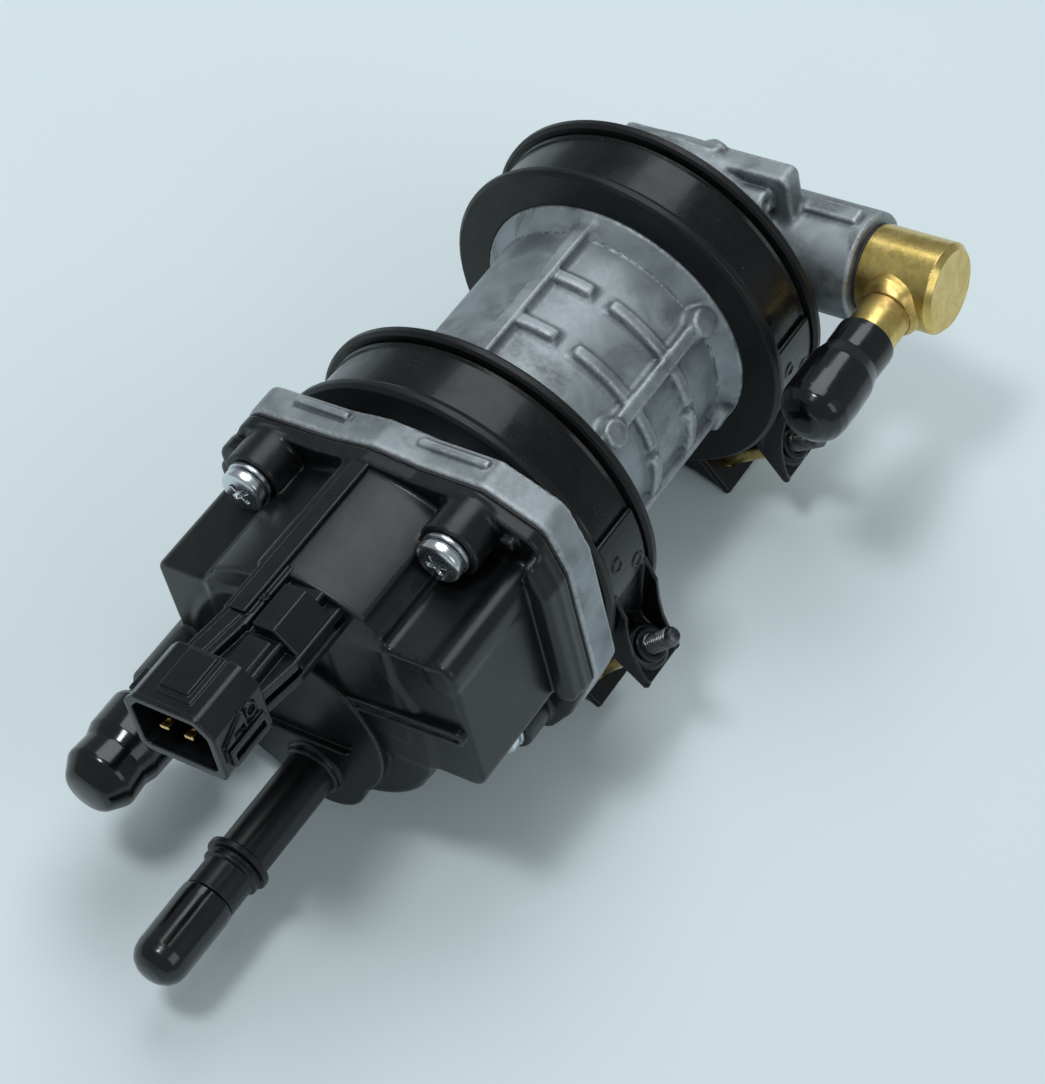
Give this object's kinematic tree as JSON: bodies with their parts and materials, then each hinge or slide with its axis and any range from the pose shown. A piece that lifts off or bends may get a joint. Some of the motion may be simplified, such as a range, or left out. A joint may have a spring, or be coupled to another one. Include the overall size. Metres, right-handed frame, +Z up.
{
  "type": "fuel pump",
  "caption": "Electric frame-rail fuel pump: cast barrel with moulded cover, outlet and return spigots, two-way socket, brass inlet elbow and two clamped rubber isolators.",
  "frame": {"origin": "middle of the outline seen from above, on the floor under the pump as it lies", "axes": "+Z up, +Y along the pump towards the inlet end, -Y the way the spigots and the connector face"},
  "size_m": [0.1092, 0.2282, 0.0895],
  "materials": {
    "cast_aluminium": "as cast, satin",
    "cover_plastic": "satin black moulding",
    "isolator_rubber": "matte black",
    "dark_rubber": "matte black",
    "black_coated_steel": "glossy black coat",
    "black_bolt": "dark plated",
    "bright_zinc": "bright zinc plated",
    "brass": "turned, heat-stained at the braze",
    "copper": "bare copper",
    "cap_vinyl": "glossy black vinyl",
    "plated_steel": "plated",
    "bell_plastic": "natural moulding",
    "magnet": "ground ferrite",
    "carbon": "carbon"
  },
  "bodies": {
    "pump": {"housing": "cast_aluminium", "cover_gasket": "dark_rubber", "cover": "cover_plastic", "front_isolator": "isolator_rubber", "rear_isolator": "isolator_rubber", "front_band": "black_coated_steel", "rear_band": "black_coated_steel", "front_bolt": "black_bolt", "rear_bolt": "black_bolt", "front_nut": "black_bolt", "rear_nut": "black_bolt", "cover_screws": "bright_zinc", "screw_washers": "bright_zinc", "terminal_pins": "brass", "motor_leads": "copper", "elbow_body": "brass", "elbow_tube": "brass", "elbow_braze": "brass", "elbow_seal": "dark_rubber", "cartridge_sleeve": "dark_rubber", "cartridge_case": "plated_steel", "end_bell": "bell_plastic", "outlet_plate": "cast_aluminium", "inlet_plate": "cast_aluminium", "strainer": "bell_plastic", "magnets": "magnet", "brushes": "carbon", "brush_springs": "plated_steel", "front_bush": "brass", "rear_bush": "brass", "check_spring": "plated_steel", "check_stop": "brass", "regulator_seat": "brass", "regulator_spring": "plated_steel", "regulator_stop": "brass"},
    "rotor": {"shaft": "plated_steel", "armature_core": "plated_steel", "windings": "copper", "commutator": "copper", "impeller": "bell_plastic"},
    "check_poppet": {"check_valve": "bell_plastic"},
    "regulator_poppet": {"regulator_valve": "brass"},
    "outlet_cap_body": {"outlet_cap": "cap_vinyl"},
    "return_cap_body": {"return_cap": "cap_vinyl"},
    "inlet_cap_body": {"inlet_cap": "cap_vinyl"}
  },
  "joints": [
    {"name": "rotor_spin", "type": "hinge", "parent": "pump", "child": "rotor", "pos_m": [-0.00954, 0.03795, 0.042], "axis": [0, 1, 0], "continuous": true},
    {"name": "check_lift", "type": "slide", "parent": "pump", "child": "check_poppet", "axis": [0, -1, 0], "range_m": [0, 0.0016], "stiffness_N_per_m": 150, "springref_m": -0.002, "deforming": ["check_spring"]},
    {"name": "regulator_lift", "type": "slide", "parent": "pump", "child": "regulator_poppet", "axis": [0, -1, 0], "range_m": [0, 0.004], "stiffness_N_per_m": 600, "springref_m": -0.006, "deforming": ["regulator_spring"]},
    {"name": "outlet_cap_pull", "type": "slide", "parent": "pump", "child": "outlet_cap_body", "axis": [0, -1, 0], "range_m": [0, 0.03]},
    {"name": "return_cap_pull", "type": "slide", "parent": "pump", "child": "return_cap_body", "axis": [0, -1, 0], "range_m": [0, 0.034]},
    {"name": "inlet_cap_pull", "type": "slide", "parent": "pump", "child": "inlet_cap_body", "axis": [0, -1, 0], "range_m": [0, 0.036]}
  ]
}
